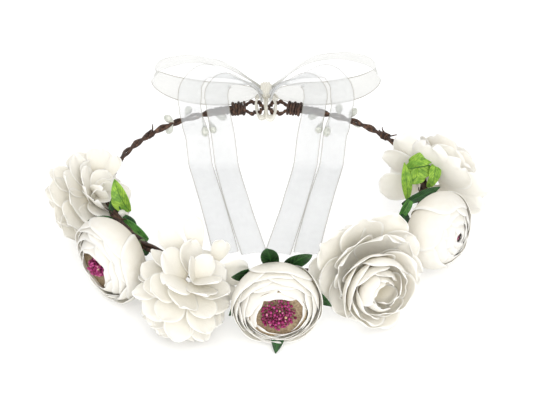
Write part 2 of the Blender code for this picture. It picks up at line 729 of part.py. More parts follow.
def make_all():
    clear_scene()
    finishes = make_materials()
    crown = add_empty("crown", Matrix())
    band = add_empty("front_band", Matrix(), crown)
    make_front_vines(band, finishes["vine"])
    make_knot(band, finishes["ribbon"])
    for side in (-1, 1):
        name = "right" if side > 0 else "left"
        hinge = Matrix.Translation(band_point(hinge_angle(side)))
        arm = add_empty(f"{name}_arm_hinge", hinge, crown)
        make_arm(side, arm, finishes["vine"])
        make_tie(side, arm, finishes["ribbon"])
        make_loop(side, band, finishes["ribbon"])
        for order in (1, 2):
            make_arch(side, order, band, finishes["ribbon"])
            make_tail(side, order, crown, finishes["ribbon"])
        sprigs = SPRIGS[name]
        for sprig, (share, tips) in sprigs.items():
            angle = hinge_angle(side) + (eye_base_angle(side) - hinge_angle(side)) * share
            make_pips(f"{name}_{sprig}_pips", angle, tips, arm, finishes["pip"])
    for flower in FLOWERS:
        make_flower(flower, crown, finishes)
    for name, (angle, blades) in LEAVES.items():
        foot = band_point(angle, outward=LEAF_FOOT_INSET, up=LEAF_FOOT_HEIGHT)
        out, along = outward_at(angle), tangent_at(angle)
        made = []
        for reach_along, reach_out, reach_up, width in blades:
            tip = foot + along * reach_along + out * reach_out + Vector((0, 0, reach_up))
            across = (tip - foot).cross(Vector((0, 0, 1)))
            made.append((foot, tip, across, width))
        make_leaves(name, made, band, finishes["leaf"])
    centre_on_origin(crown)


make_all()
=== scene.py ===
"""The looks of a flower crown: fabric petals, twisted vine, leaves, pips and an organza bow.

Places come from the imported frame: each flower's band point is its tilt joint, each arm's
is its flex joint, and each tail's is its lift joint.
"""

import json
import math
import random

import bmesh
import bpy
from mathutils import Matrix, Vector, noise


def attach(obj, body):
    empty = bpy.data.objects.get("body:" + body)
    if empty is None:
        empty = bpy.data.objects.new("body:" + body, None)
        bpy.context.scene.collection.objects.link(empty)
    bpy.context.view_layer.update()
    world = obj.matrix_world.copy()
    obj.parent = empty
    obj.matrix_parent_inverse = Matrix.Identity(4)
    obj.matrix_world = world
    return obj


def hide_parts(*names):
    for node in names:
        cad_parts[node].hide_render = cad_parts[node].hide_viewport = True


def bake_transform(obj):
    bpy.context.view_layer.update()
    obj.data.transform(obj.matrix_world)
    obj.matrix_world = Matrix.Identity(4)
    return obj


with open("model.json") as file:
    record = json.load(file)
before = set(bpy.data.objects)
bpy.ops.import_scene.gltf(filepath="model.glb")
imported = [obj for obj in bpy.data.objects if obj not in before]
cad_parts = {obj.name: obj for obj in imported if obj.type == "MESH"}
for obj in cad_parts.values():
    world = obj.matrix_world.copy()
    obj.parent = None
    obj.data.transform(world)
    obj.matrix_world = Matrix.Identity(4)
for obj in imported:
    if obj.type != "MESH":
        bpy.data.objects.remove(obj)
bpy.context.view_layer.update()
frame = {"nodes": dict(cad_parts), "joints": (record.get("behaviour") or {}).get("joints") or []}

MM = 0.001
ACROSS = Vector((1, 0, 0))
AWAY = Vector((0, 1, 0))
UP = Vector((0, 0, 1))
JOINTS = {joint["name"]: joint for joint in frame["joints"]}

# Sizes that scene.py shares with the CAD model.
RING_RADIUS = 91.5 * MM
RIBBON_WIDTH = 15 * MM
TAIL_LENGTH = 100 * MM
TAIL_LEAN = math.radians(13)
EYE_LENGTH = 12.5 * MM
EYE_HALF_WIDTH = 4.6 * MM

# Sizes of the visual alone.
EYE_TILT = math.radians(40)
EYE_GAP = 1.25 * MM
EYE_WIRE = 0.85 * MM
PETAL_CLOTH = 0.25 * MM
LEAF_CLOTH = 0.35 * MM
TABLE_GAP = 0.1 * MM
PIP_RADIUS = 2.6 * MM
STALK_RADIUS = 0.35 * MM
GOLDEN_ANGLE = 2.39996


SIDES = ((-1, "left"), (1, "right"))


def joint_point(name):
    return Vector(JOINTS[name]["pos_m"])


FRONT = joint_point("front_ranunculus_tilt")
FRONT_TANGENT = Vector(JOINTS["front_ranunculus_tilt"]["axis"]).normalized()
RING_CENTRE = FRONT - FRONT_TANGENT.cross(UP) * RING_RADIUS


def band(angle, outward=0.0, up=0.0):
    """A point beside the vine; angles run from the front, positive to the right."""
    radius = RING_RADIUS + outward
    return RING_CENTRE + Vector((radius * math.sin(angle), -radius * math.cos(angle), up))


def ring_point(place):
    """A point given in millimetres from the ring's centre: to the right, to the back, up."""
    return RING_CENTRE + Vector(place) * MM


def outward_at(angle):
    return Vector((math.sin(angle), -math.cos(angle), 0))


def tangent_at(angle):
    return Vector((math.cos(angle), math.sin(angle), 0))


def angle_of(point):
    flat = point - RING_CENTRE
    return math.atan2(flat.x, -flat.y)


def direction(azimuth, elevation):
    """A unit vector; azimuth from the front, positive to the right, both in degrees."""
    flat = math.cos(math.radians(elevation))
    return Vector((flat * math.sin(math.radians(azimuth)), -flat * math.cos(math.radians(azimuth)),
                   math.sin(math.radians(elevation))))


def heading(turn):
    """A level unit vector, turned from +X."""
    return Vector((math.cos(turn), math.sin(turn), 0))


def facing(origin, axis):
    """A frame at origin whose +Z is the axis and whose +X is level."""
    axis = axis.normalized()
    across = UP.cross(axis).normalized()
    turn = Matrix((across, axis.cross(across), axis)).transposed().to_4x4()
    return Matrix.Translation(origin) @ turn


# Materials.

def node_material(name, settings):
    """A new material, its tree, and its shader with the values of some sockets set."""
    made = bpy.data.materials.new(name)
    made.use_nodes = True
    shader = made.node_tree.nodes["Principled BSDF"]
    for socket, value in settings.items():
        shader.inputs[socket].default_value = value
    return made, made.node_tree, shader


def wire(tree, source, target):
    """Links a socket to the target, or gives the target a number or a colour."""
    if isinstance(source, bpy.types.NodeSocket):
        tree.links.new(source, target)
    elif isinstance(source, tuple):
        target.default_value = (*source, 1.0)
    else:
        target.default_value = source


def ramp(tree, source, stops):
    """A colour ramp, where a stop's colour is a tuple, or one number for a grey."""
    node = tree.nodes.new("ShaderNodeValToRGB")
    elements = node.color_ramp.elements
    while len(elements) < len(stops):
        elements.new(0.5)
    for element, (place, colour) in zip(elements, stops):
        element.position = place
        element.color = (*(colour if isinstance(colour, tuple) else (colour,) * 3), 1.0)
    wire(tree, source, node.inputs["Fac"])
    return node.outputs["Color"]


def object_noise(tree, scale, detail, stretch=(1, 1, 1)):
    coords = tree.nodes.new("ShaderNodeTexCoord")
    mapping = tree.nodes.new("ShaderNodeMapping")
    mapping.inputs["Scale"].default_value = stretch
    wire(tree, coords.outputs["Object"], mapping.inputs["Vector"])
    texture = tree.nodes.new("ShaderNodeTexNoise")
    texture.inputs["Scale"].default_value = scale
    texture.inputs["Detail"].default_value = detail
    wire(tree, mapping.outputs["Vector"], texture.inputs["Vector"])
    return texture.outputs["Fac"]


def bump(tree, shader, height, strength, distance):
    node = tree.nodes.new("ShaderNodeBump")
    node.inputs["Strength"].default_value = strength
    node.inputs["Distance"].default_value = distance
    wire(tree, height, node.inputs["Height"])
    wire(tree, node.outputs["Normal"], shader.inputs["Normal"])


def mix_colour(tree, factor, first, second, blend="MIX"):
    node = tree.nodes.new("ShaderNodeMix")
    node.data_type = "RGBA"
    node.blend_type = blend
    for value, socket in ((factor, 0), (first, 6), (second, 7)):
        wire(tree, value, node.inputs[socket])
    return node.outputs[2]


def mix_shaders(tree, share, first, second):
    node = tree.nodes.new("ShaderNodeMixShader")
    for socket, value in enumerate((share, first, second)):
        wire(tree, value, node.inputs[socket])
    return node.outputs[0]


def thin_cloth(tree, shader, colour, share):
    """The shader with a share of the light passing through it."""
    lit = tree.nodes.new("ShaderNodeBsdfTranslucent")
    wire(tree, colour, lit.inputs["Color"])
    return mix_shaders(tree, share, shader.outputs[0], lit.outputs[0])


def attribute(tree, name):
    node = tree.nodes.new("ShaderNodeAttribute")
    node.attribute_name = name
    parts = tree.nodes.new("ShaderNodeSeparateColor")
    wire(tree, node.outputs["Color"], parts.inputs["Color"])
    return parts.outputs


def petal_material(name, pale, shade, base_shade):
    """Matt woven fabric, with painted shade that deepens towards the petal's base and a painted highlight
    along its edge.
    """
    made, tree, shader = node_material(
        name, {"Roughness": 0.82, "Sheen Weight": 0.15, "Specular IOR Level": 0.2})
    place = attribute(tree, "place")
    # Painted shade: the colour darkens from the pale fabric near the tip, through the shade colour, to the
    # darkest colour at the petal's base.
    along = ramp(tree, place[0], [(0.0, base_shade), (0.40, shade), (0.85, pale)])
    veins = ramp(tree, object_noise(tree, 260.0, 4.0), [(0.35, 0.0), (0.75, 0.45)])
    # Painted highlight: a band along each petal's edge is lightened towards near-white.
    edge = ramp(tree, place[1], [(0.86, 0.0), (0.99, 1.0)])
    coloured = mix_colour(tree, edge, mix_colour(tree, veins, along, shade), (0.97, 0.96, 0.93))
    wire(tree, coloured, shader.inputs["Base Color"])
    creases = mix_colour(tree, 0.3, object_noise(tree, 240.0, 3.0, (1.0, 1.0, 0.35)),
                         object_noise(tree, 2600.0, 1.0))
    bump(tree, shader, creases, 0.6, 0.0011)
    wire(tree, thin_cloth(tree, shader, coloured, 0.34), tree.nodes["Material Output"].inputs["Surface"])
    return made


def grained_material(name, grain, stops, relief, depth, settings):
    """Speckled colour over a rough surface; grain and relief are each a noise's scale and detail."""
    made, tree, shader = node_material(name, settings)
    wire(tree, ramp(tree, object_noise(tree, *grain), stops), shader.inputs["Base Color"])
    bump(tree, shader, object_noise(tree, *relief), *depth)
    return made


def math_node(tree, operation, first, second=0.0):
    node = tree.nodes.new("ShaderNodeMath")
    node.operation = operation
    wire(tree, first, node.inputs[0])
    wire(tree, second, node.inputs[1])
    return node.outputs[0]


def leaf_material(name, dark, bright, vein):
    """A stamped leaf: a midrib, side veins that slant to the edge, and a paler edge."""
    made, tree, shader = node_material(name, {"Roughness": 0.55})
    place = attribute(tree, "place")
    body = ramp(tree, object_noise(tree, 330.0, 3.0), [(0.38, dark), (0.62, bright)])
    slant = math_node(tree, "SUBTRACT", math_node(tree, "MULTIPLY", place[0], 8.0),
                      math_node(tree, "MULTIPLY", place[1], 2.6))
    side = ramp(tree, math_node(tree, "FRACT", slant), [(0.0, 0.9), (0.10, 0.7), (0.22, 0.0)])
    middle = ramp(tree, place[1], [(0.03, 1.0), (0.09, 0.0)])
    lines = mix_colour(tree, 1.0, side, middle, "LIGHTEN")
    edge = ramp(tree, place[1], [(0.88, 0.0), (1.0, 0.6)])
    edged = mix_colour(tree, edge, mix_colour(tree, lines, body, vein), bright)
    wire(tree, edged, shader.inputs["Base Color"])
    bump(tree, shader, mix_colour(tree, 0.5, object_noise(tree, 1800.0, 2.0), lines), 0.7, 0.0004)
    return made


def stamen_material():
    """Wine-red threads, a few of them with a tan end: each thread has its own number."""
    made, tree, shader = node_material("stamen_thread", {"Roughness": 0.6})
    colour = ramp(tree, attribute(tree, "place")[2], [
        (0.0, (0.10, 0.004, 0.03)), (0.40, (0.26, 0.01, 0.09)), (0.70, (0.42, 0.04, 0.20)),
        (0.84, (0.55, 0.20, 0.30)), (0.94, (0.52, 0.38, 0.22))])
    wire(tree, colour, shader.inputs["Base Color"])
    bump(tree, shader, object_noise(tree, 2500.0, 2.0), 0.5, 0.0002)
    return made


def organza_material(name, tint, edge_tint, cover, edge_cover):
    """Sheer woven ribbon: fine threads, and a closer selvedge at each side."""
    made, tree, shader = node_material(
        name, {"Roughness": 0.5, "Sheen Weight": 0.2, "Specular IOR Level": 0.3})
    threads = object_noise(tree, 5200.0, 1.0)
    edge = ramp(tree, attribute(tree, "place")[1], [(0.90, 0.0), (0.95, 1.0)])
    weave = ramp(tree, threads, [(0.3, cover * 0.92), (0.7, cover * 1.08)])
    cloudy = ramp(tree, object_noise(tree, 90.0, 1.0), [(0.3, cover * 0.85), (0.7, cover * 1.15)])
    opacity = mix_colour(tree, edge, mix_colour(tree, 0.4, weave, cloudy), (edge_cover,) * 3)
    value = tree.nodes.new("ShaderNodeRGBToBW")
    wire(tree, opacity, value.inputs[0])
    colour = mix_colour(tree, edge, tint, edge_tint)
    wire(tree, colour, shader.inputs["Base Color"])
    bump(tree, shader, threads, 0.3, 0.0001)
    holes = tree.nodes.new("ShaderNodeBsdfTransparent")
    sheer = mix_shaders(tree, value.outputs[0], holes.outputs[0], thin_cloth(tree, shader, colour, 0.35))
    wire(tree, sheer, tree.nodes["Material Output"].inputs["Surface"])
    return made


# Each petal colour set runs pale, shade, then base colour: the darker colours are painted shade towards the
# petal's base, and the cup petals are the same fabric with deeper painted shade than the free petals.
PETAL = petal_material("petal_fabric", (0.93, 0.912, 0.862), (0.885, 0.86, 0.785), (0.78, 0.735, 0.62))
SHADED_CUP_PETAL = petal_material("shaded_cup_petal_fabric", (0.93, 0.91, 0.855), (0.85, 0.81, 0.71), (0.66, 0.60, 0.44))
BARK = grained_material(
    "paper_vine", (420.0, 6.0),
    [(0.32, (0.012, 0.006, 0.004)), (0.55, (0.06, 0.028, 0.016)), (0.78, (0.20, 0.10, 0.055))],
    (900.0, 5.0), (0.8, 0.0006), {"Roughness": 0.72})
TAPE = grained_material(
    "crepe_tape", (1500.0, 3.0), [(0.3, (0.05, 0.09, 0.03)), (0.7, (0.16, 0.22, 0.09))],
    (1500.0, 3.0), (0.6, 0.0003), {"Roughness": 0.8})
BRIGHT_LEAF = leaf_material("bright_leaf", (0.12, 0.28, 0.02), (0.30, 0.50, 0.05), (0.05, 0.15, 0.01))
DARK_LEAF = leaf_material("dark_leaf", (0.003, 0.024, 0.005), (0.015, 0.085, 0.012), (0.04, 0.14, 0.03))
MIDDLE_LEAF = leaf_material("middle_leaf", (0.03, 0.13, 0.02), (0.09, 0.30, 0.04), (0.16, 0.34, 0.08))
STAMEN = stamen_material()
DISC = grained_material(
    "flower_centre", (900.0, 4.0), [(0.3, (0.16, 0.11, 0.06)), (0.7, (0.40, 0.31, 0.19))],
    (900.0, 4.0), (0.5, 0.0003), {"Roughness": 0.8})
PIP = grained_material(
    "pip_coating", (500.0, 2.0), [(0.3, (0.42, 0.44, 0.39)), (0.7, (0.66, 0.66, 0.60))],
    (1200.0, 2.0), (0.25, 0.0002), {"Roughness": 0.38, "Coat Weight": 0.3})
ORGANZA = organza_material("organza", (0.70, 0.71, 0.715), (0.38, 0.37, 0.33), 0.50, 0.75)
# The bow loops' organza is the ribbon's organza tinted darker, with dark golden selvedges: painted shade on
# the bow loops.
SHADED_BOW_ORGANZA = organza_material("shaded_bow_organza", (0.50, 0.50, 0.46), (0.24, 0.22, 0.165), 0.46, 0.80)
KNOT_ORGANZA = organza_material("knot_organza", (0.80, 0.78, 0.71), (0.64, 0.60, 0.50), 0.90, 0.94)


# Mesh building.

class Sheet:
    """Collects surface patches with the place attribute: along, distance to edge, own number."""

    def __init__(self):
        self.points = []
        self.faces = []
        self.places = []

    def grid(self, rows, wrap=False):
        """Adds rows of (point, place) pairs, with faces between the rows."""
        first = len(self.points)
        count = len(rows[0])
        for row in rows:
            for point, place in row:
                self.points.append(point)
                self.places.append(place)
        for line in range(len(rows) - 1):
            for step in range(count if wrap else count - 1):
                after = (step + 1) % count
                a = first + line * count
                self.faces.append((a + step, a + after, a + count + after, a + count + step))

    def mesh(self, name, finish, thickness=0.0, place=Matrix()):
        """Makes the object, smoothed once and kept off the table."""
        data = bpy.data.meshes.new(name)
        placed = [place @ Vector(point) for point in self.points]
        for point in placed:
            point.z = max(point.z, TABLE_GAP + thickness)
        data.from_pydata(placed, [], self.faces)
        marks = data.attributes.new("place", "FLOAT_COLOR", "POINT")
        marks.data.foreach_set("color", [channel for mark in self.places for channel in (*mark, 1.0)])
        data.shade_smooth()
        data.materials.append(finish)
        obj = add_object(name, data)
        subdivision = obj.modifiers.new("smooth", "SUBSURF")
        subdivision.levels = 1
        subdivision.render_levels = 1
        if thickness:
            solid = obj.modifiers.new("thickness", "SOLIDIFY")
            solid.thickness = thickness
            solid.offset = 0.0
        return obj


def add_object(name, data):
    obj = bpy.data.objects.new(name, data)
    bpy.context.scene.collection.objects.link(obj)
    return obj


def spread(cells):
    """Places across a strip, from -1 at one edge to 1 at the other."""
    return [2 * column / cells - 1 for column in range(cells + 1)]


def circle(centre, across, other, radius, sides, mark):
    """A ring of (point, place) pairs for a grid that wraps."""
    turns = [math.tau * k / sides for k in range(sides)]
    return [(centre + (across * math.cos(turn) + other * math.sin(turn)) * radius, mark) for turn in turns]


def petal_lines(cells):
    """Places along a petal, closer together towards its tip."""
    return [1 - (1 - line / cells) ** 1.45 for line in range(cells + 1)]


def egg(v, base, widest, sharp):
    """Half-width of a petal along its length, from 0 at the base to 1 at the tip, which is cut short."""
    v = min(v, 0.992)
    if v < widest:
        return base + (1 - base) * math.sin(math.pi / 2 * v / widest)
    return max(0.0, 1 - ((v - widest) / (1 - widest)) ** 2) ** sharp


def petal(sheet, profile, around, first, last, width, bulge, stagger, ruffle, curl, shape, seed):
    """One petal laid on a turned surface, from profile place first to last."""
    dice = random.Random(seed)
    phase = dice.uniform(0, math.tau)
    waves = dice.uniform(2.0, 3.4)
    number = dice.random()
    rows = []
    for v in petal_lines(10):
        here = first + (last - first) * v
        radius, height = profile(here)
        further, higher = profile(here + 0.01)
        slope = math.hypot(further - radius, higher - height) or 1.0
        normal = ((higher - height) / slope, -(further - radius) / slope)
        half = width / 2 * egg(v, *shape)
        row = []
        for s in spread(10):
            turn = around + s * half / max(radius, 1.5 * MM)
            off = curl * max(0.0, v - 0.72) ** 2 * 12 - bulge * s * s
            off += stagger * s
            off += ruffle * (abs(s) ** 1.5 + 0.5) * v ** 2 * math.sin(waves * s * 1.6 + phase)
            r = radius + off * normal[0]
            point = (r * math.cos(turn), r * math.sin(turn), height + off * normal[1])
            row.append((point, (v, max(abs(s), 2 * v - 1), number)))
        rows.append(row)
    sheet.grid(rows)


def cup_profile(radius, back, front, equator):
    """A cup whose widest ring stands at the equator's height; the place is a share of a half turn."""
    def at(place):
        turn = math.pi * place
        depth = back if turn < math.pi / 2 else front
        return radius * math.sin(turn), equator - depth * math.cos(turn)
    return at


def finish_flower(name, pieces):
    """Each piece of a flower rides the body of the same name."""
    nodes = [node for node in frame["nodes"] if node.startswith(name) and not node.endswith("_stem")]
    for obj, kinds in pieces:
        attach(obj, name)
        covered = [node for node in nodes if node.endswith(kinds)]
        if covered:
            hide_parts(*covered)


def layered_bloom(name, centre, pole, reach, core, squeeze, rows, extras, seed):
    """Rows of rounded petals that spring from a small core and lean away from the heart."""
    place = facing(ring_point(centre), pole)
    outer = Sheet()
    inner = Sheet()
    for index, (tilt, count, width) in enumerate(rows):
        for step in range(count):
            dice = random.Random(seed + 31 * index + step)
            around = math.tau * (step + 0.5 * (index % 2)) / count + dice.uniform(-0.16, 0.16)
            lean = math.radians(tilt + dice.uniform(-7, 7))
            back = lean - math.radians(min(tilt + 6, 34))
            far = reach * dice.uniform(0.92, 1.08)
            swing = dice.uniform(-0.16, 0.16)
            foot = spot(core, back, around, squeeze)
            tip = spot(far, lean, around + swing, squeeze)
            across = Vector((-math.sin(around), math.cos(around), dice.uniform(-0.3, 0.3)))
            free_petal(inner if index < 2 else outer, foot, tip, across, width * MM * dice.uniform(0.9, 1.15),
                       dice.uniform(-0.02, 0.10), dice.uniform(-2.4, 0.6) * MM, 0.9 * MM, (0.34, 0.56, 0.60),
                       seed * 7 + 13 * index + step, cells=8)
    chosen_petals(outer, place, extras, 0.03, 1.5 * MM, 1.3 * MM, (0.26, 0.74, 0.36), seed)
    return (outer.mesh(f"{name}_outer_fabric", PETAL, PETAL_CLOTH, place),
            inner.mesh(f"{name}_inner_fabric", PETAL, PETAL_CLOTH, place))


def spot(radius, tilt, around, squeeze):
    """A point at a distance from a bloom's middle, tilted from its pole and squeezed along it."""
    flat = radius * math.sin(tilt)
    return Vector((flat * math.cos(around), flat * math.sin(around), radius * math.cos(tilt) * squeeze)) * MM


def free_petal(sheet, foot, tip, across, width, cup, curl, ruffle, shape, seed, cells=10):
    """One petal standing by itself from foot to tip, hollow towards its face side."""
    dice = random.Random(seed)
    phase = dice.uniform(0, math.tau)
    waves = dice.uniform(2.0, 3.6)
    number = dice.random()
    along = tip - foot
    face = along.cross(across).normalized()
    across = face.cross(along).normalized()
    rows = []
    for v in petal_lines(cells):
        half = width / 2 * egg(v, *shape)
        row = []
        for s in spread(cells):
            off = cup * width * (s * s * 0.9 * min(1.0, v * 2) - math.sin(math.pi * v)) - curl * v ** 3
            off += ruffle * (abs(s) ** 1.5 + 0.4) * v ** 2 * math.sin(waves * s * 1.6 + phase + 2 * v)
            point = foot + along * v + across * half * s + face * off
            row.append((point, (v, max(abs(s), 2 * v - 1), number)))
        rows.append(row)
    sheet.grid(rows)


def chosen_petals(sheet, place, petals, cup, curl, ruffle, shape, seed, cells=10):
    """Free petals between points of the ring's own frame, added to a flower that stands at place."""
    back = place.inverted()
    for foot, tip, across, width in petals:
        free_petal(sheet, back @ ring_point(foot), back @ ring_point(tip), back.to_3x3() @ Vector(across),
                   width * MM, cup, curl, ruffle, shape, seed + width, cells)


def rolled_cup(target, radius, back, front, tips, count, layers, shrink, seed, start=0.10,
               equator=None, turned=0.45, loose=1.0):
    """Layers of broad petals wrapped round each other, each rim reaching further over the opening."""
    equator = back if equator is None else equator
    for layer in range(layers):
        share = layer / max(1, layers - 1)
        scale = 1 - shrink * layer
        profile = cup_profile(radius * scale, back * scale, front * (1 - 0.35 * shrink * layer), equator)
        tip = tips[0] + (tips[1] - tips[0]) * share
        for step in range(count):
            dice = random.Random(seed + 101 * layer + step)
            around = math.tau * (step + turned * layer) / count + dice.uniform(-0.14, 0.14) * loose
            petal(target, profile, around, start, tip + dice.uniform(-0.03, 0.025) * loose,
                  radius * scale * 1.7 * dice.uniform(0.95, 1.08), -0.15 * MM, 0.55 * MM * loose,
                  0.28 * MM * loose, 0.3 * MM * loose, (0.40, 0.55, 0.30), seed * 3 + 17 * layer + step)


def bead(sheet, centre, radius, number):
    rows = []
    for line in range(5):
        tilt = math.pi * (line + 0.02) / 4.04
        rows.append(circle(centre + UP * radius * math.cos(tilt), ACROSS, AWAY,
                           radius * math.sin(tilt), 6, (0.5, 0.0, number)))
    sheet.grid(rows, wrap=True)


def stamen_cluster(name, place, dome, height, lift, seed):
    """Thread ends and anthers crowded over a small dome."""
    sheet = Sheet()
    dice = random.Random(seed)
    count = 150
    for index in range(count):
        share = (index + 0.5) / count
        tilt = math.acos(1 - share * 0.92)
        turn = index * GOLDEN_ANGLE
        out = Vector((math.sin(tilt) * math.cos(turn) * dome, math.sin(tilt) * math.sin(turn) * dome,
                      math.cos(tilt) * height)) * dice.uniform(0.74, 1.14)
        tip = out + UP * lift
        base = Vector((out.x * 0.5, out.y * 0.5, lift - 2 * MM))
        side = Vector((-math.sin(turn), math.cos(turn), 0)) * 0.22 * MM
        over = heading(turn) * 0.22 * MM
        ring = [side, over, -side, -over]
        number = min(0.99, max(0.0, dice.betavariate(1.6, 2.0) + (0.22 if index % 7 == 0 else 0)))
        sheet.grid([[(base + r, (0.1, 0, number * 0.5)) for r in ring],
                    [(tip + r, (0.9, 0, number)) for r in ring]], wrap=True)
        bead(sheet, tip, dice.uniform(0.45, 1.05) * MM, number)
    return sheet.mesh(name, STAMEN, place=place)


def centre_disc(name, place, radius, height, sag):
    """The dished ground that the stamens stand on."""
    sheet = Sheet()
    rows = []
    for ring in range(8):
        share = max(ring / 7, 0.02)
        rows.append(circle(UP * (height + sag * share ** 2), ACROSS, AWAY, radius * share, 28,
                           (share, 0.0, 0.5)))
    sheet.grid(rows, wrap=True)
    return sheet.mesh(name, DISC, 0.3 * MM, place)


def ranunculus(name, base, axis, radius, back, front, tips, seed, opening, thread_share):
    """A tight bun of wrapped petals round an open, threaded centre."""
    place = facing(base, axis)
    outer = Sheet()
    middle = tips[0] + (tips[1] - tips[0]) * 0.45
    rolled_cup(outer, radius, back, front, (tips[0], middle), 5, 3, 0.06, seed)
    inner = Sheet()
    rolled_cup(inner, radius * 0.82, back * 0.82, front * 0.95, (middle + 0.03, tips[1]), 4, 3, 0.07,
               seed + 55, start=0.16, equator=back)
    ground = back + front * 0.36
    return [
        (outer.mesh(f"{name}_outer_fabric", SHADED_CUP_PETAL, PETAL_CLOTH, place), ("outer_petals",)),
        (inner.mesh(f"{name}_inner_fabric", SHADED_CUP_PETAL, PETAL_CLOTH, place), ("inner_petals",)),
        (centre_disc(f"{name}_disc", place, radius * opening * 1.12, ground, 2.0 * MM), ()),
        (stamen_cluster(f"{name}_stamen_threads", place, radius * thread_share, 6.0 * MM, ground + 1 * MM,
                        seed), ("stamens",)),
    ]


def open_rose(name, plate_at, axis, petals, cup_shift, cup, depths, tips, seed, swirl, extras):
    """A ruff of large free petals with a rolled cup standing in front of it."""
    place = facing(ring_point(plate_at), axis)
    ruff = Sheet()
    for index, (turn, lean, length, width) in enumerate(petals):
        dice = random.Random(seed + 41 * index)
        way = math.radians(turn + dice.uniform(-5, 5))
        rise = math.radians(lean + dice.uniform(-4, 4))
        flat = heading(way)
        along = flat * math.cos(rise) + UP * math.sin(rise)
        foot = flat * 3 * MM - UP * MM
        free_petal(ruff, foot, foot + along * length * MM, UP.cross(flat), width * MM, 0.10,
                   dice.uniform(-1.0, 2.4) * MM, 1.5 * MM, (0.28, 0.62, 0.42), seed * 5 + index, cells=12)
    chosen_petals(ruff, place, extras, 0.06, 1.0 * MM, 1.2 * MM, (0.4, 0.66, 0.40), seed, cells=12)
    inner_place = facing(ring_point(plate_at) + Vector(cup_shift) * MM, axis)
    swirled = Sheet()
    rolled_cup(swirled, cup * MM, depths[0] * MM, depths[1] * MM, tips, 4, swirl, 0.15, seed + 9,
               turned=0.62, loose=2.3)
    return [
        (ruff.mesh(f"{name}_outer_fabric", PETAL, PETAL_CLOTH, place), ("outer_petals",)),
        (swirled.mesh(f"{name}_inner_fabric", SHADED_CUP_PETAL, PETAL_CLOTH, inner_place),
         ("inner_petals", "_heart")),
    ]


# Flowers.

# Each row of petals leans a number of degrees from the pole: (lean, count, width).
# Each chosen petal runs between two points of the ring's frame: (foot, tip, across, width).
BLOOMS = (
    ("front_left_bloom", (-43, -105, -1.5), direction(70, 60), 26.5, 12, 0.95,
     [(24, 3, 14), (48, 6, 17), (70, 8, 17), (92, 9, 16.5), (113, 9, 16), (134, 8, 15.5), (152, 6, 14)],
     [((-40, -92, 8), (-56, -84, 25), (1, 0.3, 0), 12), ((-36, -90, 12), (-39, -82, 31), (1, 0, 0), 11),
      ((-28, -92, 8), (-22, -88, 20), (1, 0, 0), 10), ((-33, -99, 2), (-9, -96.5, 7), (0.2, 0.3, 1), 14)], 3),
    ("left_back_bloom", (-102, -17, -1.5), direction(70, 44), 27.5, 11, 0.62,
     [(14, 4, 13), (40, 7, 16), (64, 9, 17), (88, 10, 18), (112, 9, 17), (138, 7, 16)],
     [((-98, -4, 10), (-96, 6, 20), (1, 0.2, 0), 15), ((-104, -4, 10), (-111, 6, 16), (1, 0.4, 0), 15),
      ((-91, -6, 8), (-87, 3, 17), (1, -0.2, 0), 11)], 8))

# Azimuth, elevation, radius, depths behind and in front, tips, seed, opening, share with threads.
RANUNCULUS = (
    ("front_ranunculus", 3, -4, 23.8, 20, 14, (0.58, 0.76), 21, 0.57, 0.37),
    ("left_ranunculus", -50, -6, 24.5, 17, 14, (0.62, 0.80), 34, 0.55, 0.21),
    ("right_ranunculus", 50, 2, 22.5, 15, 15, (0.76, 0.95), 47, 0.20, 0.13))

# Each ruff petal: turn about the pole, lean towards it, length and width.
FRONT_RUFF = (
    (100, 12, 31, 26), (140, 8, 29, 26), (180, 10, 26, 25), (222, 14, 26, 24), (262, 18, 26, 24),
    (305, 16, 27, 24), (345, 12, 29, 25), (62, 10, 32, 26), (22, 12, 29, 25), (120, 32, 27, 26),
    (82, 34, 27, 26), (160, 34, 23, 24), (45, 34, 26, 24), (200, 36, 21, 22), (5, 38, 24, 24))
BACK_RUFF = (
    (90, 2, 31, 26), (130, 0, 30, 26), (172, 4, 30, 26), (214, 6, 29, 26), (258, 6, 28, 26),
    (300, 4, 29, 26), (342, 2, 31, 27), (20, 2, 31, 27), (56, 4, 32, 27), (110, 26, 25, 24),
    (200, 26, 24, 24), (290, 26, 24, 24), (20, 26, 25, 24), (155, 30, 23, 22), (245, 30, 23, 22))
ROSES = (
    ("front_right_rose", (53, -87, 1), direction(22, 8), FRONT_RUFF, (2.5, -7, -2.5), 21, (12, 9),
     (0.56, 0.80), 60, 5,
     (((42, -90, 0), (22.5, -90, 3), (0.1, 0.3, 1), 17), ((50, -86, 4), (40, -80, 22), (1, 0.2, 0), 20))),
    ("right_back_rose", (99, 4, 0), direction(146, 24), BACK_RUFF, (3, 8, 3), 17, (10, 8),
     (0.58, 0.80), 77, 6,
     (((89, 1, -1), (66.5, 3, -5), (0, -0.25, 1), 24), ((98, 4, 4), (84, 12, 17), (1, 0, 1), 20))))


def make_flowers():
    for name, *bloom in BLOOMS:
        outer, inner = layered_bloom(name, *bloom)
        finish_flower(name, [(outer, ("outer_petals",)), (inner, ("inner_petals", "_heart"))])
    for name, azimuth, elevation, radius, back, front, *shape in RANUNCULUS:
        root = joint_point(f"{name}_tilt")
        base = root + outward_at(angle_of(root)) * 5 * MM
        if name == "right_ranunculus":
            base += Vector((-3.0, 0, 1.5)) * MM
        finish_flower(name, ranunculus(name, base, direction(azimuth, elevation), radius * MM, back * MM,
                                       front * MM, *shape))
    for name, *rose in ROSES:
        finish_flower(name, open_rose(name, *rose))


# Vine.

